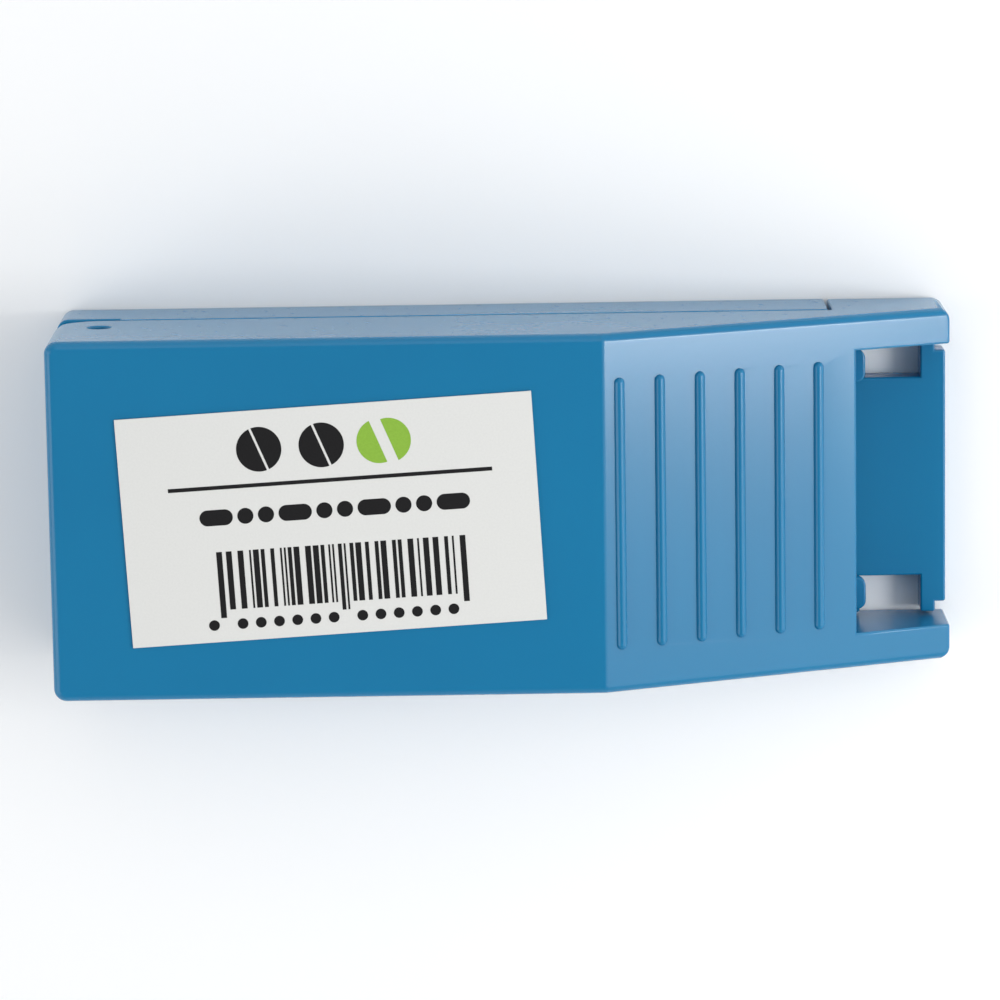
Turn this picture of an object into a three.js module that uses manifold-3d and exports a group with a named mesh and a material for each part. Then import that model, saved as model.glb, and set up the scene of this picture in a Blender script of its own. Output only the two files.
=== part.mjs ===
import * as THREE from "three";
import { mergeVertices } from "three/addons/utils/BufferGeometryUtils.js";
import Module from "manifold-3d";

const wasm = await Module();
wasm.setup();

// All sizes are millimetres. X runs along the splitter with the thumb end at +X, and Z is up.
const LENGTH = 85;
const WIDTH = 34;
const HEIGHT = 22;
const WALL = 1.6;
const GAP = 0.3;
const RUNNING_GAP = 0.1;
const CORNER_R = 1.2;
const EDGE_R = 0.8;

const BACK_X = -LENGTH / 2;
const FRONT_X = LENGTH / 2;
const SIDE_Y = WIDTH / 2;
const INNER_Y = SIDE_Y - WALL;
const ROOF_Z = HEIGHT - WALL;

// The lid is flat back to KINK_X and falls by SLOPE in front of it, down to its front edge.
const KINK_X = 9.2;
const SLOPE = 0.42;
const SLOPE_ANGLE = Math.atan(SLOPE);
const LID_FRONT_X = 33.3;
const PARTING_Z = 7.5;
const LID_BOTTOM_Z = PARTING_Z + GAP;

// Thumb ribs across the slope.
const RIB_COUNT = 6;
const RIB_START_X = 10.7;
const RIB_STEP = 3.79;
const RIB_HALF_LENGTH = 12.85;
const RIB_R = 0.5;

// Open recess in front of the lid: the lid's two arms stand beside the base's tongue.
const ARM_X = 31.3;
const ARM_Y = 13.6;
const ARM_BOTTOM_Z = GAP;
const TONGUE_Y = ARM_Y - GAP;
const TONGUE_Z = 3.2;
const BULKHEAD_X = [29.4, ARM_X - GAP];
const SLOT_X = [34.2, 40.1];
const SLOT_Y = 9.7;
const TONGUE_NOTCH = 1;
const LIP_X = 34.7;
const LIP_Y = [9.5, 12.7];
const LIP_Z = [3.6, 4.8];

// Main hinge, across the tall rear end.
const HINGE_X = -38;
const HINGE_PIN_R = 1;
const LID_ARC_R = HINGE_X - BACK_X;
const HINGE_Z = LID_BOTTOM_Z + LID_ARC_R;
const EAR_Y = [12.5, 14.9];
const EAR_R = 2.5;
const EAR_FOOT_X = [-39.4, -32.5];
const BACK_WALL_Z = 6.7;
const LID_BACK_Z = 8.3;
const LID_NOTCH_Z = 15.7;
const LID_NOTCH_Y = 12;
const REAR_DROP_X = -36.5;

// Lap rib inside the side walls, which guides the lid's skirts.
const LAP_X = -30;
const LAP_Y = [14.2, 15.1];
const LAP_SHOULDER_Z = 7.2;
const LAP_TOP_Z = 9.2;
const PARTITION_X = [7, 8.2];

// Tablet bed: two blocks leave a V that opens towards the thumb end.
const BED_X = [-27, 5];
const BED_Y = 12;
const BED_Z = [WALL + GAP, 6];
const BED_TOP_Z = 11;
const BED_PLATE = 1.4;
const V_APEX_X = -20;
const V_ANGLE = Math.PI / 6;
const V_SLOT_Y = 2.7;
const BLADE_SLOT_Y = 0.7;
const BLADE_SLOT_X = [-25.5, 2.5];
const PAD_X = [-25, 2.5];
const PAD_Y = 2.4;
const PAD_TOP_Z = 4.3;

// Blade and its holder, hung under the lid's roof.
const BLADE_X = [-24, 1];
const BLADE_Z = [4.7, 16.6];
const BLADE_GRIND_Z = 6.4;
const BLADE_HALF = 0.25;
const EDGE_HALF = 0.03;
const WEB_X = [-26, 6];
const WEB_Y = 1.25;
const WEB_Z = [13, 20];
const WEB_SLIT_Y = BLADE_HALF + GAP;
const FLANGE_X = [
  [-28.7, -24.3],
  [4.4, 9],
];
const FLANGE_Y = 7.5;
const FLANGE_Z = [15.2, 16.6];
const RIVET_X = { rear: -19, front: -3.5 };
const RIVET_Z = 15;
const RIVET_R = 1;

const SCREW_X = [-26.5, 6.5];
const SCREW_Y = 5;
const SCREW_R = 0.85;
const SCREW_TOP_Z = 19.8;
const SCREW_HEAD_R = 1.8;
const SCREW_HEAD_Z = [13.8, FLANGE_Z[0] - GAP];
const BOSS_R = 2.2;

// Guard: two plates that swing down beside the blade as the lid opens.
const GUARD_PIVOT_X = -31;
const GUARD_PIVOT_Z = 13;
const GUARD_PIN_R = 0.8;
const GUARD_PIN_Y = 4.6;
const GUARD_Y = [1.6, 2.4];
const GUARD_END_X = 3.4;
const GUARD_LOW_Z = BED_TOP_Z + GAP;
const GUARD_DEEP_Z = 7.2;
const GUARD_ARM_Z = 14.9;
const GUARD_TOP_Z = 19.5;
const GUARD_BAR = 1;
const GUARD_BACK_X = -34.4;
const BRACKET_Y = [3, 4.4];
const BRACKET_R = 2;
const SPRING_WIRE_R = 0.25;
const SPRING_R = 1.45;
const SPRING_TURNS = 3.5;
const SPRING_Y = 1;

// Sticker on the flat of the lid.
const LABEL_SIZE = [38.7, 21.6];
const LABEL_X = -16.2;
const LABEL_TURN = 3.2 * (Math.PI / 180);
const LABEL_Z = [HEIGHT + 0.05, HEIGHT + 0.2];

const ROUND = 32;
const SMALL_ROUND = 24;
const REACH = 60;

const MATERIALS = {
  blue: new THREE.MeshStandardMaterial({ color: 0x1c72a8, roughness: 0.32, metalness: 0 }),
  white: new THREE.MeshStandardMaterial({ color: 0xe6e8e6, roughness: 0.45, metalness: 0 }),
  smoke: new THREE.MeshStandardMaterial({ color: 0xc9d3d8, roughness: 0.3, metalness: 0 }),
  rubber: new THREE.MeshStandardMaterial({ color: 0x6d7478, roughness: 0.8, metalness: 0 }),
  steel: new THREE.MeshStandardMaterial({ color: 0xb8bcc0, roughness: 0.28, metalness: 1 }),
  paper: new THREE.MeshStandardMaterial({ color: 0xf3f3f1, roughness: 0.6, metalness: 0 }),
};

// A closed three.js geometry as a manifold-3d solid.
function solid(geometry) {
  const bare = geometry.index ? geometry.toNonIndexed() : geometry.clone();
  bare.deleteAttribute("normal");
  bare.deleteAttribute("uv");
  const merged = mergeVertices(bare, 1e-4);
  const vertProperties = merged.attributes.position.array;
  const triVerts = new Uint32Array(merged.index.array);
  return new wasm.Manifold(new wasm.Mesh({ numProp: 3, vertProperties, triVerts }));
}

// A manifold-3d solid as a named three.js mesh.
function piece(name, made, material) {
  const cut = made.getMesh();
  const geometry = new THREE.BufferGeometry();
  geometry.setAttribute("position", new THREE.BufferAttribute(cut.vertProperties, 3));
  geometry.setIndex(new THREE.BufferAttribute(cut.triVerts, 1));
  geometry.computeVertexNormals();
  const mesh = new THREE.Mesh(geometry, material);
  mesh.name = name;
  return mesh;
}

function block(x, y, z) {
  const geometry = new THREE.BoxGeometry(x[1] - x[0], y[1] - y[0], z[1] - z[0]);
  geometry.translate((x[0] + x[1]) / 2, (y[0] + y[1]) / 2, (z[0] + z[1]) / 2);
  return solid(geometry);
}

// The same span on the left or right of the middle plane.
function across(side, span) {
  return side > 0 ? span : [-span[1], -span[0]];
}

function outline(points) {
  return new THREE.Shape(points.map(([x, y]) => new THREE.Vector2(x, y)));
}

function roundedPlan(x, y, r) {
  const shape = new THREE.Shape();
  shape.absarc(x[1] - r, y[1] - r, r, 0, Math.PI / 2);
  shape.absarc(x[0] + r, y[1] - r, r, Math.PI / 2, Math.PI);
  shape.absarc(x[0] + r, y[0] + r, r, Math.PI, Math.PI * 1.5);
  shape.absarc(x[1] - r, y[0] + r, r, Math.PI * 1.5, Math.PI * 2);
  return shape;
}

// A plan shape raised from z[0] to z[1].
function raised(shape, z) {
  const geometry = new THREE.ExtrudeGeometry(shape, {
    depth: z[1] - z[0],
    bevelEnabled: false,
    curveSegments: 6,
  });
  geometry.translate(0, 0, z[0]);
  return solid(geometry);
}

// A side view in X and Z, carried across from y[0] to y[1].
function carried(shape, y) {
  const geometry = new THREE.ExtrudeGeometry(shape, {
    depth: y[1] - y[0],
    bevelEnabled: false,
    curveSegments: 16,
  });
  geometry.rotateX(Math.PI / 2);
  geometry.translate(0, y[1], 0);
  return solid(geometry);
}

function rod(x, z, r, y) {
  const geometry = new THREE.CylinderGeometry(r, r, y[1] - y[0], ROUND);
  geometry.translate(x, (y[0] + y[1]) / 2, z);
  return solid(geometry);
}

function post(x, y, r, z) {
  const geometry = new THREE.CylinderGeometry(r, r, z[1] - z[0], SMALL_ROUND);
  geometry.rotateX(Math.PI / 2);
  geometry.translate(x, y, (z[0] + z[1]) / 2);
  return solid(geometry);
}

function slopeZ(x) {
  return HEIGHT - SLOPE * (x - KINK_X);
}

// The outside of the whole splitter: flat top, slope, and rounded edges and corners.
function envelope() {
  const body = roundedSlab([BACK_X, FRONT_X], REACH);
  body.translate(0, 0, HEIGHT);
  const ramp = roundedSlab([-REACH, REACH], REACH);
  ramp.rotateY(SLOPE_ANGLE);
  ramp.translate(KINK_X, 0, HEIGHT);
  return solid(body).intersect(solid(ramp));
}

// A slab under z = 0 with rounded upright corners and a rounded top edge.
function roundedSlab(x, depth) {
  const inner = roundedPlan(
    [x[0] + EDGE_R, x[1] - EDGE_R],
    [EDGE_R - SIDE_Y, SIDE_Y - EDGE_R],
    CORNER_R - EDGE_R,
  );
  const geometry = new THREE.ExtrudeGeometry(inner, {
    depth,
    bevelThickness: EDGE_R,
    bevelSize: EDGE_R,
    bevelSegments: 5,
    curveSegments: 6,
  });
  geometry.translate(0, 0, -depth - EDGE_R);
  return geometry;
}

function baseShell() {
  let shell = envelope().intersect(block([-REACH, REACH], [-REACH, REACH], [0, HEIGHT]));
  shell = shell.subtract(block([-REACH, BULKHEAD_X[1]], [-REACH, REACH], [PARTING_Z, REACH]));
  shell = shell.subtract(block([-REACH, REAR_DROP_X], [-REACH, REACH], [BACK_WALL_Z, REACH]));
  const rearWell = [BACK_X + WALL, LAP_X];
  shell = shell.subtract(block(rearWell, [-INNER_Y, INNER_Y], [WALL, REACH]));
  const middle = [LAP_X - 1, PARTITION_X[0]];
  shell = shell.subtract(block(middle, [-LAP_Y[0], LAP_Y[0]], [WALL, REACH]));
  const store = roundedPlan([PARTITION_X[1], BULKHEAD_X[0]], [-LAP_Y[0], LAP_Y[0]], CORNER_R);
  shell = shell.subtract(raised(store, [WALL, PARTING_Z + 1]));
  const front = [BULKHEAD_X[1], REACH];
  shell = shell.subtract(block(front, [-REACH, REACH], [TONGUE_Z, REACH]));
  const ear = outline([
    [EAR_FOOT_X[0], WALL - 0.5],
    [EAR_FOOT_X[1], WALL - 0.5],
    [HINGE_X + EAR_R, HINGE_Z],
    [HINGE_X, HINGE_Z + EAR_R / 2],
    [HINGE_X - EAR_R / 2, HINGE_Z],
  ]);
  for (const side of [-1, 1]) {
    const lap = [LAP_SHOULDER_Z - 1, LAP_TOP_Z];
    shell = shell.add(block([LAP_X, BULKHEAD_X[0] - WALL], across(side, LAP_Y), lap));
    const earSpan = across(side, EAR_Y);
    shell = shell.add(carried(ear, earSpan)).add(rod(HINGE_X, HINGE_Z, EAR_R, earSpan));
    const through = [-1, TONGUE_Z + 1];
    shell = shell.subtract(block(front, across(side, [TONGUE_Y, REACH]), through));
    shell = shell.subtract(block(SLOT_X, across(side, [SLOT_Y, REACH]), through));
    const notch = across(side, [TONGUE_Y - TONGUE_NOTCH, REACH]);
    shell = shell.subtract(block([FRONT_X - TONGUE_NOTCH, REACH], notch, through));
  }
  const bore = rod(HINGE_X, HINGE_Z, HINGE_PIN_R + RUNNING_GAP, [-INNER_Y, INNER_Y]);
  return shell.subtract(bore);
}

function lidShell() {
  const drop = WALL / Math.cos(SLOPE_ANGLE);
  const innerFrontX = LID_FRONT_X - WALL;
  const hollow = outline([
    [BACK_X + WALL, 0],
    [innerFrontX, 0],
    [innerFrontX, slopeZ(innerFrontX) - drop],
    [KINK_X - (drop - WALL) / SLOPE, ROOF_Z],
    [BACK_X + WALL, ROOF_Z],
  ]);
  let room = block([-REACH, LID_FRONT_X], [-REACH, REACH], [LID_BOTTOM_Z, REACH]);
  room = room.subtract(carried(hollow, [-INNER_Y, INNER_Y]));
  for (const side of [-1, 1]) {
    room = room.add(block([ARM_X, REACH], across(side, [ARM_Y, REACH]), [ARM_BOTTOM_Z, REACH]));
  }
  let shell = envelope().intersect(room);
  const arc = rod(HINGE_X, HINGE_Z, LID_ARC_R, [-REACH, REACH]);
  const corner = block([-REACH, HINGE_X], [-REACH, REACH], [0, HINGE_Z]).subtract(arc);
  const lip = block([-REACH, HINGE_X], [-LID_NOTCH_Y, LID_NOTCH_Y], [LID_BACK_Z, HINGE_Z]);
  shell = shell.subtract(corner.subtract(lip));
  for (const side of [-1, 1]) {
    const notch = across(side, [LID_NOTCH_Y, INNER_Y]);
    shell = shell.subtract(block([-REACH, BACK_X + WALL + 1], notch, [0, LID_NOTCH_Z]));
    shell = shell.add(liftingLip(side));
    for (const x of SCREW_X) {
      const boss = post(x, side * SCREW_Y, BOSS_R, [FLANGE_Z[1] + GAP, ROOF_Z + 0.5]);
      const hole = post(x, side * SCREW_Y, SCREW_R + GAP, [0, SCREW_TOP_Z + GAP]);
      shell = shell.add(boss).subtract(hole);
    }
    const bracketY = across(side, BRACKET_Y);
    const strapX = [GUARD_PIVOT_X - BRACKET_R, GUARD_PIVOT_X + BRACKET_R];
    shell = shell.add(block(strapX, bracketY, [GUARD_PIVOT_Z, ROOF_Z + 0.5]));
    shell = shell.add(rod(GUARD_PIVOT_X, GUARD_PIVOT_Z, BRACKET_R, bracketY));
  }
  for (let i = 0; i < RIB_COUNT; i += 1) shell = shell.add(thumbRib(RIB_START_X + i * RIB_STEP));
  const pinHole = rod(HINGE_X, HINGE_Z, HINGE_PIN_R + RUNNING_GAP, [-REACH, REACH]);
  const guardY = [-BRACKET_Y[1] - 1, BRACKET_Y[1] + 1];
  const guardHole = rod(GUARD_PIVOT_X, GUARD_PIVOT_Z, GUARD_PIN_R + RUNNING_GAP, guardY);
  return shell.subtract(pinHole).subtract(guardHole);
}

// A plate that hangs from the lid's front wall, with a lip at its foot for a fingernail.
function liftingLip(side) {
  const y = across(side, LIP_Y);
  const backX = LID_FRONT_X - WALL;
  const plate = block([backX, LID_FRONT_X], y, [LIP_Z[0], LID_BOTTOM_Z + 0.5]);
  return plate.add(raised(roundedPlan([backX, LIP_X], y, LIP_X - LID_FRONT_X - 0.5), LIP_Z));
}

function thumbRib(x) {
  const geometry = new THREE.CapsuleGeometry(RIB_R, (RIB_HALF_LENGTH - RIB_R) * 2, 4, 12);
  geometry.translate(x, 0, slopeZ(x));
  return solid(geometry);
}

function pillBed() {
  const plan = roundedPlan(BED_X, [-BED_Y, BED_Y], CORNER_R);
  let bed = raised(plan, BED_Z);
  const under = roundedPlan(
    [BED_X[0] + BED_PLATE, BED_X[1] - BED_PLATE],
    [BED_PLATE - BED_Y, BED_Y - BED_PLATE],
    CORNER_R,
  );
  bed = bed.subtract(raised(under, [0, BED_Z[1] - BED_PLATE]));
  const vX = (distance) => V_APEX_X + distance / Math.tan(V_ANGLE);
  const cheekSide = BED_PLATE / Math.sin(V_ANGLE);
  for (const side of [-1, 1]) {
    const cheek = outline([
      [BED_X[0], side * V_SLOT_Y],
      [vX(V_SLOT_Y), side * V_SLOT_Y],
      [vX(BED_Y), side * BED_Y],
      [BED_X[0], side * BED_Y],
    ]);
    const inner = [V_SLOT_Y + BED_PLATE, BED_Y - BED_PLATE];
    const core = outline([
      [BED_X[0] + BED_PLATE, side * inner[0]],
      [vX(inner[0]) - cheekSide, side * inner[0]],
      [vX(inner[1]) - cheekSide, side * inner[1]],
      [BED_X[0] + BED_PLATE, side * inner[1]],
    ]);
    bed = bed.add(raised(cheek, [BED_Z[1] - 0.5, BED_TOP_Z]));
    bed = bed.subtract(raised(core, [0, BED_TOP_Z - BED_PLATE]));
  }
  bed = bed.intersect(raised(plan, [BED_Z[0], BED_TOP_Z]));
  return bed.subtract(block(BLADE_SLOT_X, [-BLADE_SLOT_Y, BLADE_SLOT_Y], [0, BED_TOP_Z]));
}

function blade() {
  const section = outline([
    [-BLADE_HALF, BLADE_Z[1]],
    [-BLADE_HALF, BLADE_GRIND_Z],
    [-EDGE_HALF, BLADE_Z[0]],
    [EDGE_HALF, BLADE_Z[0]],
    [BLADE_HALF, BLADE_GRIND_Z],
    [BLADE_HALF, BLADE_Z[1]],
  ]);
  const geometry = new THREE.ExtrudeGeometry(section, {
    depth: BLADE_X[1] - BLADE_X[0],
    bevelEnabled: false,
  });
  geometry.rotateX(Math.PI / 2);
  geometry.rotateZ(Math.PI / 2);
  geometry.translate(BLADE_X[0], 0, 0);
  return solid(geometry).subtract(rivetHoles());
}

function rivetHoles() {
  const [first, second] = Object.values(RIVET_X).map((x) =>
    rod(x, RIVET_Z, RIVET_R + RUNNING_GAP, [-WEB_Y - 1, WEB_Y + 1]),
  );
  return first.add(second);
}

function bladeHolder() {
  let holder = block(WEB_X, [-WEB_Y, WEB_Y], WEB_Z);
  for (const x of FLANGE_X) {
    const flange = roundedPlan(x, [-FLANGE_Y, FLANGE_Y], CORNER_R);
    holder = holder.add(raised(flange, FLANGE_Z));
  }
  const slit = [BLADE_X[0] - GAP, BLADE_X[1] + GAP];
  const slitZ = [0, BLADE_Z[1] + GAP];
  holder = holder.subtract(block(slit, [-WEB_SLIT_Y, WEB_SLIT_Y], slitZ));
  for (const x of SCREW_X) {
    for (const side of [-1, 1]) {
      holder = holder.subtract(post(x, side * SCREW_Y, SCREW_R + GAP, [0, REACH]));
    }
  }
  return holder.subtract(rivetHoles());
}

function bladeGuard() {
  const plate = outline([
    [GUARD_BACK_X, GUARD_PIVOT_Z - 1.6],
    [BED_X[0], GUARD_LOW_Z],
    [BED_X[0], GUARD_DEEP_Z],
    [-18.5, GUARD_DEEP_Z],
    [-14.5, GUARD_LOW_Z],
    [GUARD_END_X, GUARD_LOW_Z],
    [GUARD_END_X, GUARD_TOP_Z - 2],
    [GUARD_END_X - 2, GUARD_TOP_Z],
    [FLANGE_X[0][1] + 3 * GAP, GUARD_TOP_Z],
    [FLANGE_X[0][1] + 3 * GAP, GUARD_ARM_Z],
    [GUARD_BACK_X, GUARD_ARM_Z],
  ]);
  let guard = carried(plate, across(1, GUARD_Y)).add(carried(plate, across(-1, GUARD_Y)));
  const bridgeX = [GUARD_END_X - GUARD_BAR, GUARD_END_X];
  const bridgeZ = [GUARD_LOW_Z, WEB_Z[0] - GAP];
  guard = guard.add(block(bridgeX, [-GUARD_Y[1], GUARD_Y[1]], bridgeZ));
  const barX = [GUARD_BACK_X, GUARD_BACK_X + GUARD_BAR];
  const barZ = [GUARD_PIVOT_Z - 1.6, GUARD_ARM_Z];
  guard = guard.add(block(barX, [-GUARD_Y[1], GUARD_Y[1]], barZ));
  const holeR = GUARD_PIN_R + RUNNING_GAP;
  return guard.subtract(rod(GUARD_PIVOT_X, GUARD_PIVOT_Z, holeR, [-BRACKET_Y[0], BRACKET_Y[0]]));
}

// A torsion spring round the guard's pin: one leg up to the roof, then its turns, then a short leg.
function guardSpring() {
  const points = [];
  const legTop = ROOF_Z - 2 * GAP;
  const legX = GUARD_PIVOT_X + SPRING_R;
  points.push(new THREE.Vector3(legX, -SPRING_Y, legTop));
  points.push(new THREE.Vector3(legX, -SPRING_Y, (legTop + GUARD_PIVOT_Z) / 2));
  const steps = SPRING_TURNS * 16;
  for (let i = 0; i <= steps; i += 1) {
    const turn = (i / 16) * Math.PI * 2;
    const x = GUARD_PIVOT_X + SPRING_R * Math.cos(turn);
    const z = GUARD_PIVOT_Z - SPRING_R * Math.sin(turn);
    points.push(new THREE.Vector3(x, SPRING_Y * ((2 * i) / steps - 1), z));
  }
  points.push(new THREE.Vector3(GUARD_PIVOT_X - SPRING_R, SPRING_Y, GUARD_PIVOT_Z + 1));
  const section = new THREE.Shape();
  section.absarc(0, 0, SPRING_WIRE_R, 0, Math.PI * 2);
  const geometry = new THREE.ExtrudeGeometry(section, {
    extrudePath: new THREE.CatmullRomCurve3(points),
    steps: steps * 2,
    curveSegments: 3,
  });
  return solid(geometry);
}

function screw(x, y) {
  const head = post(x, y, SCREW_HEAD_R, SCREW_HEAD_Z);
  return head.add(post(x, y, SCREW_R, [SCREW_HEAD_Z[1] - 0.5, SCREW_TOP_Z]));
}

function sticker() {
  const geometry = new THREE.BoxGeometry(...LABEL_SIZE, LABEL_Z[1] - LABEL_Z[0]);
  geometry.rotateZ(LABEL_TURN);
  geometry.translate(LABEL_X, 0, (LABEL_Z[0] + LABEL_Z[1]) / 2);
  return solid(geometry);
}

const pillSplitter = new THREE.Group();

const base = new THREE.Group();
const padSpan = [BED_Z[0], PAD_TOP_Z];
const pinSpan = [GAP - SIDE_Y, SIDE_Y - GAP];
base.add(piece("base_shell", baseShell(), MATERIALS.blue));
base.add(piece("pill_bed", pillBed(), MATERIALS.white));
base.add(piece("cutting_pad", block(PAD_X, [-PAD_Y, PAD_Y], padSpan), MATERIALS.rubber));
base.add(piece("hinge_pin", rod(HINGE_X, HINGE_Z, HINGE_PIN_R, pinSpan), MATERIALS.steel));

const lid = new THREE.Group();
lid.add(piece("lid_shell", lidShell(), MATERIALS.blue));
lid.add(piece("label", sticker(), MATERIALS.paper));
lid.add(piece("blade_holder", bladeHolder(), MATERIALS.white));
lid.add(piece("blade", blade(), MATERIALS.steel));
for (const [end, x] of Object.entries(RIVET_X)) {
  const rivet = rod(x, RIVET_Z, RIVET_R, [-WEB_Y, WEB_Y]);
  lid.add(piece("blade_rivet_" + end, rivet, MATERIALS.steel));
}
let screwNumber = 0;
for (const x of SCREW_X) {
  for (const side of [-1, 1]) {
    screwNumber += 1;
    lid.add(piece("holder_screw_" + screwNumber, screw(x, side * SCREW_Y), MATERIALS.steel));
  }
}
const guardPin = rod(GUARD_PIVOT_X, GUARD_PIVOT_Z, GUARD_PIN_R, [-GUARD_PIN_Y, GUARD_PIN_Y]);
lid.add(piece("guard_pin", guardPin, MATERIALS.steel));
lid.add(piece("guard_spring", guardSpring(), MATERIALS.steel));

const guard = new THREE.Group();
guard.add(piece("blade_guard", bladeGuard(), MATERIALS.smoke));

pillSplitter.add(base, lid, guard);

export default pillSplitter;
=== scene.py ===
import math

import bmesh
import bpy
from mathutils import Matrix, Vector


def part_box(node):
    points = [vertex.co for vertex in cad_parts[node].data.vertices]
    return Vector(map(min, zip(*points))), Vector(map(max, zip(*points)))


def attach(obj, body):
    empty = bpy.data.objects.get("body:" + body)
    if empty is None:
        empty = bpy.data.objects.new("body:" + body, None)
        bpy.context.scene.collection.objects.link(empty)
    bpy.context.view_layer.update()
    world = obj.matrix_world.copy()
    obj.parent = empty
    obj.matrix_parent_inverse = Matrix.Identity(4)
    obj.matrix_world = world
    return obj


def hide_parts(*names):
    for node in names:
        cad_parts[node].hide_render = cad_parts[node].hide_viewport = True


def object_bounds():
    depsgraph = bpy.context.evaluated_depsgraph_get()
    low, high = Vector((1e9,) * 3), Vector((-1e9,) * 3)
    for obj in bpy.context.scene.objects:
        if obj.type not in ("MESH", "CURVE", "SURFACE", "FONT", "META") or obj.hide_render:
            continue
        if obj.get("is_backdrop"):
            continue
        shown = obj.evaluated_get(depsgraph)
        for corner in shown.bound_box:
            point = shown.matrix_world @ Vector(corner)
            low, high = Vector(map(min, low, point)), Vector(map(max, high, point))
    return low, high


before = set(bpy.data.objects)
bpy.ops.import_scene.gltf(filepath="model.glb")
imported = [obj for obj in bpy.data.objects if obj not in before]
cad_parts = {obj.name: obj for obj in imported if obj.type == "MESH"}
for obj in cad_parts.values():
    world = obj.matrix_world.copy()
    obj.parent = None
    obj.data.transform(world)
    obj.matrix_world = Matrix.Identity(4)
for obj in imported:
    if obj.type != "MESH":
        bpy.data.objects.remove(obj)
cad_low, cad_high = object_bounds()

# Base shell -----------------------------------------------------------------
# The tray that everything stands in, injection-moulded in blue polypropylene with 1.6 mm walls.
# Two ears hold the hinge pin, and a slotted tongue runs out under the thumb recess.
MM = 0.001
SHELL_EDGE = 0.22 * MM


def only(piece):
    """Makes this piece the one that the next operator works on."""
    bpy.ops.object.select_all(action="DESELECT")
    piece.select_set(True)
    bpy.context.view_layer.objects.active = piece


def merged_copy(node, name):
    """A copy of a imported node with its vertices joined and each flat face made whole."""
    piece = bpy.data.objects.new(name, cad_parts[node].data.copy())
    piece.data.name = name
    bpy.context.collection.objects.link(piece)
    only(piece)
    bpy.ops.object.mode_set(mode="EDIT")
    bpy.ops.mesh.select_all(action="SELECT")
    bpy.ops.mesh.remove_doubles(threshold=0.004 * MM)
    bpy.ops.mesh.dissolve_limited(angle_limit=math.radians(1))
    bpy.ops.mesh.select_all(action="DESELECT")
    bpy.ops.object.mode_set(mode="OBJECT")
    piece.data.materials.clear()
    return piece


def round_edges(piece, width, segments=3, least_turn=30, where=lambda edge: True):
    """Rounds the outward edges that turn more than least_turn degrees, where the test allows.

    The flat faces keep their own shading, as a moulded wall does right up to its edge."""
    only(piece)
    bpy.ops.object.mode_set(mode="EDIT")
    bpy.ops.mesh.select_mode(type="EDGE")
    bpy.ops.mesh.select_all(action="DESELECT")
    mesh = bmesh.from_edit_mesh(piece.data)
    for edge in mesh.edges:
        outward = len(edge.link_faces) == 2 and edge.is_convex
        sharp = outward and edge.calc_face_angle(0) > math.radians(least_turn)
        edge.select_set(sharp and where(edge))
    bmesh.update_edit_mesh(piece.data)
    bpy.ops.mesh.bevel(offset=width, segments=segments, profile=0.5, clamp_overlap=False)
    bpy.ops.object.mode_set(mode="OBJECT")
    bpy.ops.object.shade_smooth_by_angle(angle=math.radians(35))
    flats = piece.modifiers.new("flats", "WEIGHTED_NORMAL")
    flats.mode = "FACE_AREA"
    flats.weight = 100
    flats.keep_sharp = True
    bpy.ops.object.modifier_apply(modifier=flats.name)


def srgb(code):
    """A linear colour from an sRGB hex code."""
    parts = [int(code[i : i + 2], 16) / 255 for i in (0, 2, 4)]
    return [p / 12.92 if p < 0.04045 else ((p + 0.055) / 1.055) ** 2.4 for p in parts] + [1]


def add_node(material, kind, inputs=None, **settings):
    """One shader node: its settings, then its sockets, each with a value or another's output."""
    made = material.node_tree.nodes.new(kind)
    for name, value in settings.items():
        setattr(made, name, value)
    for name, value in (inputs or {}).items():
        if isinstance(value, bpy.types.NodeSocket):
            material.node_tree.links.new(value, made.inputs[name])
        else:
            made.inputs[name].default_value = value
    return made


def new_material(name):
    """An empty node material with its output, and the position on the piece for its patterns."""
    material = bpy.data.materials.new(name)
    material.use_nodes = True
    material.node_tree.nodes.clear()
    place = add_node(material, "ShaderNodeTexCoord").outputs["Object"]
    return material, place


def shown_by(material, shader):
    """Joins a shader to the material's output."""
    add_node(material, "ShaderNodeOutputMaterial", {"Surface": shader.outputs[0]})
    return material


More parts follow.
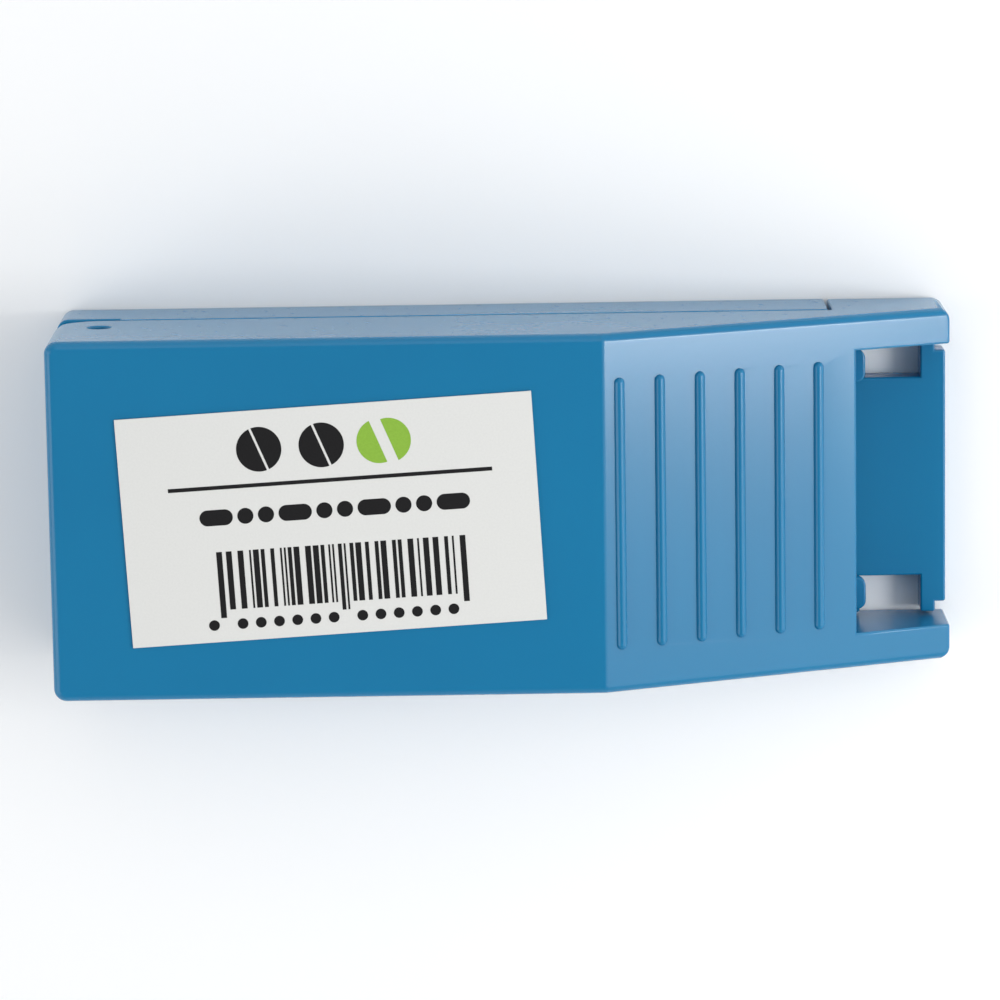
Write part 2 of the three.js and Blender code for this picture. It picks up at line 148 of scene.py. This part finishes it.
def moulded_plastic(name, colour, thick_colour, roughness, glow=0.12):
    """Injection-moulded plastic: slow flow shading, a faint orange peel and a few handling marks.

    The flow shading turns over in about 20 mm, the peel every 0.8 mm, and the marks are hair
    lines about 6 mm long, drawn 0.1 mm wide so that they show."""
    material, place = new_material(name)
    flow = add_node(material, "ShaderNodeTexNoise", {"Vector": place, "Scale": 50, "Detail": 2})
    body = add_node(
        material, "ShaderNodeMix", {"Factor": flow.outputs["Fac"]}, data_type="RGBA"
    )
    body.inputs[6].default_value = srgb(colour)
    body.inputs[7].default_value = srgb(thick_colour)
    peel = add_node(material, "ShaderNodeTexNoise", {"Vector": place, "Scale": 1250, "Detail": 3})
    stretched = add_node(
        material,
        "ShaderNodeMapping",
        {"Vector": place, "Rotation": (0.3, 0.2, 0.6), "Scale": (6 * MM, 0.3 * MM, 1.7 * MM)},
        vector_type="TEXTURE",
    )
    marks = add_node(material, "ShaderNodeTexNoise", {"Vector": stretched.outputs[0], "Scale": 1})
    mark_edge = add_node(
        material,
        "ShaderNodeMapRange",
        {
            "Value": marks.outputs["Fac"],
            "From Min": 0.68,
            "From Max": 0.8,
            "To Min": roughness,
            "To Max": roughness + 0.05,
        },
    )
    relief = add_node(
        material,
        "ShaderNodeBump",
        {"Height": peel.outputs["Fac"], "Strength": 0.05, "Distance": 0.02 * MM},
    )
    shader = add_node(
        material,
        "ShaderNodeBsdfPrincipled",
        {
            "Base Color": body.outputs[2],
            "Roughness": mark_edge.outputs[0],
            "IOR": 1.49,
            "Normal": relief.outputs[0],
            "Subsurface Weight": glow,
            "Subsurface Radius": (0.3, 0.8, 1.2),
            "Subsurface Scale": 1.2 * MM,
        },
    )
    return shown_by(material, shader)


# Polypropylene, glossy from a polished mould and a little milky, so light softens at thin walls.
blue_plastic = moulded_plastic("moulded_polypropylene_blue", "076E9B", "0977A4", 0.2)

base_shell = merged_copy("base_shell", "base_tray")
round_edges(base_shell, SHELL_EDGE)
base_shell.data.materials.append(blue_plastic)
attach(base_shell, "base")
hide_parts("base_shell")


def ejector_marks(spots, face_z, up, body, name):
    """Dished round marks 0.05 mm proud of a face, left by the pins that pushed a part out.

    The spots and the face's height are in mm, and up is 1 on a floor and -1 under a roof."""
    marks = []
    for x, y in spots:
        bpy.ops.object.select_all(action="DESELECT")
        bpy.ops.mesh.primitive_cylinder_add(
            vertices=40,
            radius=1.4 * MM,
            depth=0.1 * MM,
            location=(x * MM, y * MM, face_z * MM),
        )
        mark = bpy.context.active_object
        bpy.ops.object.transform_apply(location=True)
        bpy.ops.object.mode_set(mode="EDIT")
        bpy.ops.mesh.select_all(action="DESELECT")
        edit = bmesh.from_edit_mesh(mark.data)
        for face in edit.faces:
            face.select_set(face.normal.z * up > 0.5)
        bmesh.update_edit_mesh(mark.data)
        bpy.ops.mesh.inset(thickness=0.25 * MM, depth=-0.04 * MM)
        bpy.ops.object.mode_set(mode="OBJECT")
        marks.append(mark)
    for mark in marks:
        mark.select_set(True)
    bpy.ops.object.join()
    joined = bpy.context.active_object
    joined.name = joined.data.name = name
    bpy.ops.object.shade_smooth_by_angle(angle=math.radians(30))
    joined.data.materials.clear()
    joined.data.materials.append(blue_plastic)
    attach(joined, body)


TRAY_FLOOR = 1.6
tray_spots = [(x, y) for x in (11.6, 26) for y in (-10.6, 10.6)]
ejector_marks(tray_spots, TRAY_FLOOR, 1, "base", "tray_ejector_marks")

# Cutting pad ----------------------------------------------------------------
# A strip of soft grey rubber laid in the tray under the slot, so that the edge never meets
# hard plastic. It is cut from calendered sheet.
#
# Filled rubber: dull and almost without a highlight, with specks of filler 0.25 mm apart that
# roughen its skin.
material, place = new_material("pad_rubber_grey")
speck = add_node(material, "ShaderNodeTexNoise", {"Vector": place, "Scale": 4000, "Detail": 2})
tone = add_node(material, "ShaderNodeMix", {"Factor": speck.outputs["Fac"]}, data_type="RGBA")
tone.inputs[6].default_value = srgb("5F6669")
tone.inputs[7].default_value = srgb("7C8387")
grain = add_node(
    material,
    "ShaderNodeBump",
    {"Height": speck.outputs["Fac"], "Strength": 0.4, "Distance": 0.05 * MM},
)
pad_rubber = shown_by(
    material,
    add_node(
        material,
        "ShaderNodeBsdfPrincipled",
        {
            "Base Color": tone.outputs[2],
            "Roughness": 0.78,
            "IOR": 1.52,
            "Normal": grain.outputs[0],
        },
    ),
)
cutting_pad = merged_copy("cutting_pad", "cutting_strip")
round_edges(cutting_pad, 0.2 * MM)
cutting_pad.data.materials.append(pad_rubber)
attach(cutting_pad, "base")
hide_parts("cutting_pad")

# Pill bed -------------------------------------------------------------------
# A white polypropylene insert. Its two cored-out blocks leave a V that centres any tablet
# under the blade, and it drops into the tray behind the partition.
#
# Polypropylene with a white pigment, from a matt mould: soft wide highlights, and light that
# bleeds a little into its shaded corners.
white_plastic = moulded_plastic("moulded_polypropylene_white", "DFE3E2", "E9ECEA", 0.42, 0.2)

pill_bed = merged_copy("pill_bed", "tablet_bed")
round_edges(pill_bed, 0.25 * MM)
pill_bed.data.materials.append(white_plastic)
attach(pill_bed, "base")
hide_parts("pill_bed")

# Hinge pin ------------------------------------------------------------------
# A 2 mm steel pin pressed through the tray's ears. Its ends are chamfered and sit just inside
# the lid's skirts.
#
# Drawn steel, nickel plated: bright and slightly warm, with the die's fine lines kept under the
# plating. They are 0.01 mm apart on the wire and drawn 0.1 mm apart, so that they show.
material, place = new_material("drawn_steel_nickel_plated")
draw = add_node(
    material, "ShaderNodeMapping", {"Vector": place, "Scale": (9000, 300, 9000)}
)
lines = add_node(material, "ShaderNodeTexNoise", {"Vector": draw.outputs[0], "Scale": 1})
dull = add_node(
    material,
    "ShaderNodeMapRange",
    {"Value": lines.outputs["Fac"], "To Min": 0.16, "To Max": 0.34},
)
shade = add_node(material, "ShaderNodeMix", {"Factor": lines.outputs["Fac"]}, data_type="RGBA")
shade.inputs[6].default_value = srgb("B9BCBD")
shade.inputs[7].default_value = srgb("D2D3D2")
pin_steel = shown_by(
    material,
    add_node(
        material,
        "ShaderNodeBsdfPrincipled",
        {"Base Color": shade.outputs[2], "Metallic": 1, "Roughness": dull.outputs[0]},
    ),
)


def pin_across(node, name, body, chamfer, finish, steps=2):
    """A turned pin that lies along Y in the place of a packed one, with its ends broken.

    Two steps give a chamfer, and more of them give a dome."""
    low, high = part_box(node)
    radius = (high[0] - low[0]) / 2
    bpy.ops.object.select_all(action="DESELECT")
    bpy.ops.mesh.primitive_cylinder_add(
        vertices=48,
        radius=radius,
        depth=high[1] - low[1],
        location=[(a + b) / 2 for a, b in zip(low, high)],
        rotation=(math.pi / 2, 0, 0),
    )
    pin = bpy.context.active_object
    pin.name = pin.data.name = name
    bpy.ops.object.transform_apply(location=True, rotation=True, scale=True)
    round_edges(pin, chamfer, segments=steps, least_turn=60)
    pin.data.materials.append(finish)
    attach(pin, body)
    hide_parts(node)
    return pin


pin_across("hinge_pin", "hinge_pin_steel", "base", 0.25 * MM, pin_steel)

# Lid shell ------------------------------------------------------------------
# The lid is moulded from the same blue as the tray: flat over the label, then a ramp for the
# thumb with six half-round ribs. Two arms run on past its front edge, over two small lips.
lid_shell = merged_copy("lid_shell", "lid_cover")
KINK_X = 9.2 * MM
ROOF_TOP = cad_high.z - 0.2 * MM
RAMP_FALL = 0.42
RAMP_END = 31 * MM
RIB_ENDS = 13.2 * MM
RIB_DEPTH = 1.2 * MM


def lid_corners(edge):
    """True for the kink in the lid and for its corners, but not where a rib meets the ramp."""
    ends = [vertex.co for vertex in edge.verts]
    if all(abs(end.x - KINK_X) < 0.05 * MM for end in ends):
        return True
    if edge.calc_face_angle(0) < math.radians(30):
        return False
    ramp = ROOF_TOP - RAMP_FALL * (min(end.x for end in ends) - KINK_X)
    among_ribs = all(
        KINK_X + 0.5 * MM < end.x < RAMP_END and abs(end.y) < RIB_ENDS for end in ends
    )
    return not (among_ribs and max(end.z for end in ends) > ramp - RIB_DEPTH)


round_edges(lid_shell, SHELL_EDGE, least_turn=15, where=lid_corners)
lid_shell.data.materials.append(blue_plastic)
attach(lid_shell, "lid")
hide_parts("lid_shell")

LID_ROOF = 20.4
roof_spots = [(x, y) for x in (-15, 3.5) for y in (-11.5, 11.5)]
ejector_marks(roof_spots, LID_ROOF, -1, "lid", "roof_ejector_marks")

# Blade holder ---------------------------------------------------------------
# A white carrier moulded in one: a web that grips the blade from both sides and two flanges
# that are screwed to the lid's bosses.
blade_holder = merged_copy("blade_holder", "blade_carrier")
round_edges(blade_holder, 0.18 * MM)
blade_holder.data.materials.append(white_plastic)
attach(blade_holder, "lid")
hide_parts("blade_holder")

# Blade and its rivets -------------------------------------------------------
# Stainless strip 0.5 mm thick with a ground edge. The flats keep the polish of the strip, and
# two rivets with low domed heads hold it in the carrier.
#
# Ground stainless: grey and bright, with grinding strokes along the strip. A fine wheel leaves
# them 0.02 mm apart, and they are drawn 0.07 mm apart so that they streak the reflections.
material, place = new_material("stainless_strip_ground")
along = add_node(material, "ShaderNodeMapping", {"Vector": place, "Scale": (300, 300, 14000)})
strokes = add_node(material, "ShaderNodeTexNoise", {"Vector": along.outputs[0], "Scale": 1})
dull = add_node(
    material,
    "ShaderNodeMapRange",
    {"Value": strokes.outputs["Fac"], "To Min": 0.14, "To Max": 0.36},
)
shade = add_node(material, "ShaderNodeMix", {"Factor": strokes.outputs["Fac"]}, data_type="RGBA")
shade.inputs[6].default_value = srgb("C3C6C8")
shade.inputs[7].default_value = srgb("DCDEDF")
blade_steel = shown_by(
    material,
    add_node(
        material,
        "ShaderNodeBsdfPrincipled",
        {"Base Color": shade.outputs[2], "Metallic": 1, "Roughness": dull.outputs[0]},
    ),
)
# The honed bevel is nearly a mirror and catches one thin line of light. Its strokes run up to
# the edge, about 0.08 mm apart.
material, place = new_material("stainless_edge_honed")
across_edge = add_node(material, "ShaderNodeMapping", {"Vector": place, "Scale": (12000, 300, 500)})
strokes = add_node(material, "ShaderNodeTexNoise", {"Vector": across_edge.outputs[0], "Scale": 1})
dull = add_node(
    material,
    "ShaderNodeMapRange",
    {"Value": strokes.outputs["Fac"], "To Min": 0.08, "To Max": 0.22},
)
honed_steel = shown_by(
    material,
    add_node(
        material,
        "ShaderNodeBsdfPrincipled",
        {"Base Color": srgb("E6E8E9"), "Metallic": 1, "Roughness": dull.outputs[0]},
    ),
)
HONED_TOP = 6.4 * MM
blade = merged_copy("blade", "blade_strip")
only(blade)
bpy.ops.object.shade_smooth_by_angle(angle=math.radians(10))
blade.data.materials.append(blade_steel)
blade.data.materials.append(honed_steel)
for face in blade.data.polygons:
    face.material_index = 1 if face.center.z < HONED_TOP else 0
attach(blade, "lid")
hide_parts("blade")
# Aluminium rivet wire, hammered to a low dome: a pale satin metal with dents about 0.4 mm apart,
# so it holds a broad soft glint and no clear reflection.
material, place = new_material("aluminium_rivet_satin")
pits = add_node(material, "ShaderNodeTexNoise", {"Vector": place, "Scale": 2500, "Detail": 2})
dents = add_node(
    material,
    "ShaderNodeBump",
    {"Height": pits.outputs["Fac"], "Strength": 0.3, "Distance": 0.03 * MM},
)
rivet_metal = shown_by(
    material,
    add_node(
        material,
        "ShaderNodeBsdfPrincipled",
        {
            "Base Color": srgb("DCDDDE"),
            "Metallic": 1,
            "Roughness": 0.48,
            "Normal": dents.outputs[0],
        },
    ),
)
pin_across("blade_rivet_rear", "rivet_rear", "lid", 0.45 * MM, rivet_metal, steps=6)
pin_across("blade_rivet_front", "rivet_front", "lid", 0.45 * MM, rivet_metal, steps=6)

# Holder screws --------------------------------------------------------------
# Four plated pan-head screws with a cross recess, driven up through the carrier's flanges into
# the lid's bosses. No two stopped at the same turn.
THREAD_ROOT, THREAD_CREST, THREAD_PITCH = 0.62, 0.85, 0.4
SCREW_SIDE = [(0, 0), (1.2, 0), (1.5, 0.1), (1.7, 0.3), (1.8, 0.62), (1.8, 1), (1.72, 1.1)]
SCREW_SIDE.append((THREAD_ROOT, 1.1))
for thread in range(10):
    for radius, height in ((THREAD_ROOT, 1.35), (THREAD_CREST, 1.5), (THREAD_ROOT, 1.65)):
        SCREW_SIDE.append((radius, height + THREAD_PITCH * thread))
SCREW_SIDE += [(0.5, 5.6), (0.2, 6), (0, 6)]
CROSS_ARM = (2 * MM, 0.42 * MM, 1.3 * MM)


def turned(side, place, name):
    """A part from the lathe: its side view in mm, from end to end, spun about an upright axis."""
    mesh = bpy.data.meshes.new(name)
    chain = [(radius * MM, 0, height * MM) for radius, height in side]
    mesh.from_pydata(chain, [(i, i + 1) for i in range(len(chain) - 1)], [])
    piece = bpy.data.objects.new(name, mesh)
    bpy.context.collection.objects.link(piece)
    only(piece)
    bpy.ops.object.mode_set(mode="EDIT")
    bpy.ops.mesh.select_all(action="SELECT")
    bpy.ops.mesh.spin(steps=40, angle=2 * math.pi, center=(0, 0, 0), axis=(0, 0, 1))
    bpy.ops.mesh.select_all(action="SELECT")
    bpy.ops.mesh.remove_doubles(threshold=0.001 * MM)
    bpy.ops.mesh.normals_make_consistent(inside=False)
    bpy.ops.object.mode_set(mode="OBJECT")
    piece.location = place
    bpy.ops.object.transform_apply(location=True)
    return piece


def slot_cut(piece, size, place, turn):
    """Cuts a straight slot into a piece, at a place and turned about the upright axis."""
    bpy.ops.object.select_all(action="DESELECT")
    bpy.ops.mesh.primitive_cube_add(size=1, location=place, rotation=(0, 0, turn))
    cutter = bpy.context.active_object
    cutter.scale = size
    cut = piece.modifiers.new("slot", "BOOLEAN")
    cut.object = cutter
    cut.solver = "EXACT"
    only(piece)
    bpy.ops.object.modifier_apply(modifier=cut.name)
    bpy.data.objects.remove(cutter)


for number in range(1, 5):
    node = "holder_screw_%d" % number
    low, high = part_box(node)
    foot = ((low[0] + high[0]) / 2, (low[1] + high[1]) / 2, low[2])
    screw = turned(SCREW_SIDE, foot, "carrier_screw_%d" % number)
    for quarter in (0, 1):
        turn = number * 0.7 + quarter * math.pi / 2
        slot_cut(screw, CROSS_ARM, foot, turn)
    only(screw)
    bpy.ops.object.shade_smooth_by_angle(angle=math.radians(40))
    screw.data.materials.append(pin_steel)
    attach(screw, "lid")
    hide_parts(node)

# Guard, its pin and its spring ----------------------------------------------
# Two plates in one pale grey moulding swing down beside the blade as the lid opens, turning
# on a 1.6 mm pin in the lid's brackets. A torsion spring of 0.5 mm wire pushes them down.
#
# Polypropylene with little pigment: pale grey, half glossy, and the milkiest of the mouldings,
# so its thin plates look soft at their edges.
guard_plastic = moulded_plastic("moulded_polypropylene_grey", "AEB8BE", "BCC5CA", 0.3, 0.25)

blade_guard = merged_copy("blade_guard", "guard_plates")
round_edges(blade_guard, 0.15 * MM)
blade_guard.data.materials.append(guard_plastic)
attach(blade_guard, "guard")
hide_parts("blade_guard")
pin_across("guard_pin", "guard_axle", "lid", 0.15 * MM, pin_steel)

# The spring starts at the lid's roof, winds round the pin three and a half times, and ends in a
# short leg behind the guard.
PIVOT_X, PIVOT_Z = -31 * MM, 13 * MM
COIL_R = 1.45 * MM
COIL_HALF = 1 * MM
COIL_TURNS = 3.5
TURN_STEPS = 32
coil_steps = int(COIL_TURNS * TURN_STEPS)
wire_path = [(PIVOT_X + COIL_R, -COIL_HALF, 19.8 * MM)]
for step in range(coil_steps + 1):
    turn = step / TURN_STEPS * 2 * math.pi
    across = COIL_HALF * (2 * step / coil_steps - 1)
    wire_path.append((PIVOT_X + COIL_R * math.cos(turn), across, PIVOT_Z - COIL_R * math.sin(turn)))
wire_path.append((PIVOT_X - COIL_R, COIL_HALF, PIVOT_Z + 1 * MM))
wire = bpy.data.curves.new("torsion_spring", "CURVE")
wire.dimensions = "3D"
wire.bevel_depth = 0.25 * MM
wire.bevel_resolution = 3
wire.use_fill_caps = True
bends = wire.splines.new("POLY")
bends.points.add(len(wire_path) - 1)
for bend, spot in zip(bends.points, wire_path):
    bend.co = (*spot, 1)
guard_spring = bpy.data.objects.new("torsion_spring", wire)
bpy.context.collection.objects.link(guard_spring)
only(guard_spring)
bpy.ops.object.convert(target="MESH")
guard_spring = bpy.context.active_object
bpy.ops.object.shade_smooth_by_angle(angle=math.radians(50))
guard_spring.data.materials.append(pin_steel)
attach(guard_spring, "lid")
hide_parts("guard_spring")

# Label ----------------------------------------------------------------------
# A coated paper sticker, 38.7 by 21.6 mm, put on the lid by hand a few degrees out of square.
# It is printed in black and green: scored tablets over a rule, a row of small ones, and bars.
LABEL = (38.7 * MM, 21.6 * MM)
LABEL_TURN = math.radians(3.2)
label_low, label_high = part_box("label")
LABEL_MIDDLE = ((label_low[0] + label_high[0]) / 2, (label_low[1] + label_high[1]) / 2)


def on_label(piece):
    """Turns and moves a piece made flat at the origin to its place on the lid."""
    only(piece)
    piece.rotation_euler.z = LABEL_TURN
    piece.location = (LABEL_MIDDLE[0], LABEL_MIDDLE[1], 0)
    bpy.ops.object.transform_apply(location=True, rotation=True, scale=True)


# Coated paper: an even off-white with a faint tooth, fibres 0.2 mm apart, and a low sheen that
# never gets as bright as the plastic's.
material, place = new_material("coated_label_paper")
fibre = add_node(material, "ShaderNodeTexNoise", {"Vector": place, "Scale": 5000, "Detail": 4})
tint = add_node(material, "ShaderNodeMix", {"Factor": fibre.outputs["Fac"]}, data_type="RGBA")
tint.inputs[6].default_value = srgb("D5D5D2")
tint.inputs[7].default_value = srgb("DEDEDB")
tooth = add_node(
    material,
    "ShaderNodeBump",
    {"Height": fibre.outputs["Fac"], "Strength": 0.15, "Distance": 0.01 * MM},
)
label_paper = shown_by(
    material,
    add_node(
        material,
        "ShaderNodeBsdfPrincipled",
        {
            "Base Color": tint.outputs[2],
            "Roughness": 0.5,
            "Normal": tooth.outputs[0],
        },
    ),
)


bpy.ops.object.select_all(action="DESELECT")
bpy.ops.mesh.primitive_cube_add(size=1, location=(0, 0, (label_low[2] + label_high[2]) / 2))
label = bpy.context.active_object
label.name = label.data.name = "paper_label"
label.scale = (*LABEL, label_high[2] - label_low[2])
bpy.ops.object.transform_apply(location=True, rotation=True, scale=True)
on_label(label)
round_edges(label, 0.03 * MM)
label.data.materials.append(label_paper)
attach(label, "lid")
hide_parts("label")


def print_ink(name, colour):
    """Offset ink: flat colour that lets a little of the paper's tooth through."""
    material, place = new_material(name)
    tooth = add_node(material, "ShaderNodeTexNoise", {"Vector": place, "Scale": 6000})
    tint = add_node(material, "ShaderNodeMix", {"Factor": tooth.outputs["Fac"]}, data_type="RGBA")
    tint.inputs[6].default_value = srgb(colour)
    tint.inputs[7].default_value = [min(1, c * 1.25 + 0.004) for c in srgb(colour)]
    return shown_by(
        material,
        add_node(
            material,
            "ShaderNodeBsdfPrincipled",
            {"Base Color": tint.outputs[2], "Roughness": 0.5, "Specular IOR Level": 0.25},
        ),
    )


black_ink = print_ink("offset_ink_black", "0C0B0D")
green_ink = print_ink("offset_ink_green", "80A83A")
INK_Z = (label_high[2], label_high[2] + 0.012 * MM)


def label_x(share):
    """From the left edge of the label, as a share of its length."""
    return (share - 0.5) * LABEL[0]


def label_y(share):
    """From the top edge of the label, as a share of its height."""
    return (0.5 - share) * LABEL[1]


def box_mark(left, right, bottom, top):
    """The outline of an upright printed bar."""
    return [(left, bottom), (right, bottom), (right, top), (left, top)]


def arc(x, y, radius, facing, half_angle=math.pi / 2):
    """Points along a round printed edge, centred on the way it faces."""
    turns = [facing + half_angle * (step / 16 - 1) for step in range(33)]
    return [(x + radius * math.cos(turn), y + radius * math.sin(turn)) for turn in turns]


def scored_tablet(x, y, apart=0):
    """Two half discs with a score between them, the halves moved apart."""
    halves = []
    for facing in (0.35, 0.35 + math.pi):
        middle = (x + apart * math.cos(facing), y)
        halves.append(arc(*middle, TABLET_R, facing, math.acos(0.11 * MM / TABLET_R)))
    return halves


def print_marks(outlines, name, ink):
    """One printed piece: every outline stands as proud of the paper as its ink."""
    points, faces = [], []
    for mark in outlines:
        first, count = len(points), len(mark)
        points += [(x, y, z) for z in INK_Z for x, y in mark]
        faces.append(range(first + count, first + 2 * count))
        faces.append(range(first + count - 1, first - 1, -1))
        for i in range(count):
            a, b = first + i, first + (i + 1) % count
            faces.append((a, b, b + count, a + count))
    mesh = bpy.data.meshes.new(name)
    mesh.from_pydata(points, [], faces)
    piece = bpy.data.objects.new(name, mesh)
    bpy.context.collection.objects.link(piece)
    on_label(piece)
    piece.data.materials.append(ink)
    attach(piece, "lid")


PICTURE_Y = label_y(0.17)
TABLET_R = 2.1 * MM
dark = [box_mark(label_x(0.115), label_x(0.894), label_y(0.333), label_y(0.316))]
dark += scored_tablet(label_x(0.34), PICTURE_Y) + scored_tablet(label_x(0.49), PICTURE_Y)


def long_dot(left, right, y, radius):
    """A bar with round ends, or a plain dot where left and right are the same."""
    return arc(right, y, radius, 0) + arc(left, y, radius, math.pi)


# A row of small tablets, where every third one is a capsule, and a row of dots under the bars.
ROW_R = 0.75 * MM
CAPSULE = 1.6 * MM
row_x = label_x(0.185) + ROW_R
for number in range(10):
    length = CAPSULE if number % 3 == 0 else 0
    dark.append(long_dot(row_x, row_x + length, label_y(0.455), ROW_R))
    row_x += length + 2 * ROW_R + 0.42 * MM
for number in range(13):
    dot_x = label_x(0.2 + 0.044 * number + 0.025 * (number > 0) + 0.025 * (number > 6))
    dark.append(long_dot(dot_x, dot_x, label_y(0.925), 0.5 * MM))
# Bars with made-up widths, drawn from a fixed sequence. Those at the ends and middle are longer.
BAR_STEP = 0.18 * MM
bar_x = label_x(0.218)
seed = 7
while bar_x < label_x(0.825):
    seed = (seed * 75 + 74) % 65537
    width = (1 + seed % 3) * BAR_STEP
    gap = (1 + (seed // 7) % 3) * BAR_STEP
    share = bar_x / LABEL[0] + 0.5
    long_bar = share < 0.235 or abs(share - 0.522) < 0.014 or share > 0.8
    foot = label_y(0.895 if long_bar else 0.86)
    dark.append(box_mark(bar_x, bar_x + width, foot, label_y(0.605)))
    bar_x += width + gap
print_marks(dark, "label_print_black", black_ink)
print_marks(scored_tablet(label_x(0.64), PICTURE_Y, 0.45 * MM), "label_print_green", green_ink)

# Table, lamps and camera ----------------------------------------------------
# A pale table in a light tent that is darker overhead, soft lamps behind and to the
# left, and two soft boxes in front that the ramp mirrors.
#
# Matt white paint on board: a flat pale ground that shows soft shadows and no reflection.
material, place = new_material("pale_table")
mottle = add_node(material, "ShaderNodeTexNoise", {"Vector": place, "Scale": 12, "Detail": 3})
tint = add_node(material, "ShaderNodeMix", {"Factor": mottle.outputs["Fac"]}, data_type="RGBA")
tint.inputs[6].default_value = srgb("F9F9F9")
tint.inputs[7].default_value = srgb("FCFCFC")
table_paint = shown_by(
    material,
    add_node(
        material, "ShaderNodeBsdfPrincipled", {"Base Color": tint.outputs[2], "Roughness": 0.7}
    ),
)
bpy.ops.object.select_all(action="DESELECT")
bpy.ops.mesh.primitive_plane_add(size=3, location=(0, 0, -0.2 * MM))
table = bpy.context.active_object
table.name = "table"
table.data.materials.append(table_paint)
table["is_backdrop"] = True

world = bpy.data.worlds.new("studio")
bpy.context.scene.world = world
world.use_nodes = True
sky = world.node_tree.nodes["Background"]
sky.inputs["Color"].default_value = srgb("F2F4F6")
way = add_node(world, "ShaderNodeTexCoord").outputs["Generated"]
height = add_node(world, "ShaderNodeSeparateXYZ", {"Vector": way})
fall = add_node(
    world,
    "ShaderNodeMapRange",
    {
        "Value": height.outputs["Z"],
        "From Min": 0.4,
        "From Max": 0.8,
        "To Min": 0.9,
        "To Max": 0.4,
    },
)
world.node_tree.links.new(fall.outputs[0], sky.inputs["Strength"])


def soft_box(name, place, target, size, power):
    """A rectangular lamp at a place, turned to its target."""
    bpy.ops.object.select_all(action="DESELECT")
    bpy.ops.object.light_add(type="AREA", location=place)
    lamp = bpy.context.active_object
    lamp.name = name
    lamp.data.shape = "RECTANGLE"
    lamp.data.size, lamp.data.size_y = size
    lamp.data.energy = power
    back = lamp.location - type(lamp.location)(target)
    lamp.rotation_mode = "QUATERNION"
    lamp.rotation_quaternion = back.to_track_quat("Z", "Y")
    return lamp


RAMP_MIDDLE = (0.021, 0, 0.017)
soft_box("key", (0.1, 0.45, 0.75), (0, 0, 0), (0.6, 0.6), 0.75)
soft_box("fill", (-0.5, -0.1, 0.35), (0, 0, 0), (0.5, 0.5), 1.1)
soft_box("front", (0.43, -0.05, 0.37), RAMP_MIDDLE, (0.6, 0.6), 1.3)
soft_box("ramp_light", (0.24, 0.008, 0.22), RAMP_MIDDLE, (0.07, 0.09), 0.3)

# The camera looks nearly straight down, 10 degrees from the far side.
CAMERA_DISTANCE = 485.6 * MM
CAMERA_TILT = math.radians(10)
CAMERA_ROLL = math.radians(0.87)
CAMERA_TARGET = (-0.5 * MM, 0.28 * MM, 14.4 * MM)
bpy.ops.object.camera_add(
    location=(
        CAMERA_TARGET[0],
        CAMERA_TARGET[1] + CAMERA_DISTANCE * math.sin(CAMERA_TILT),
        CAMERA_TARGET[2] + CAMERA_DISTANCE * math.cos(CAMERA_TILT),
    )
)
camera = bpy.context.active_object
camera.rotation_euler = (-CAMERA_TILT, 0, 0)
camera.rotation_mode = "XYZ"
bpy.context.view_layer.update()
camera.rotation_euler.rotate_axis("Z", -CAMERA_ROLL)
camera.data.sensor_width = 36
camera.data.lens = 185.3
camera.data.clip_start = 0.01
bpy.context.scene.camera = camera
bpy.context.scene.view_settings.view_transform = "Standard"

low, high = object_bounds()
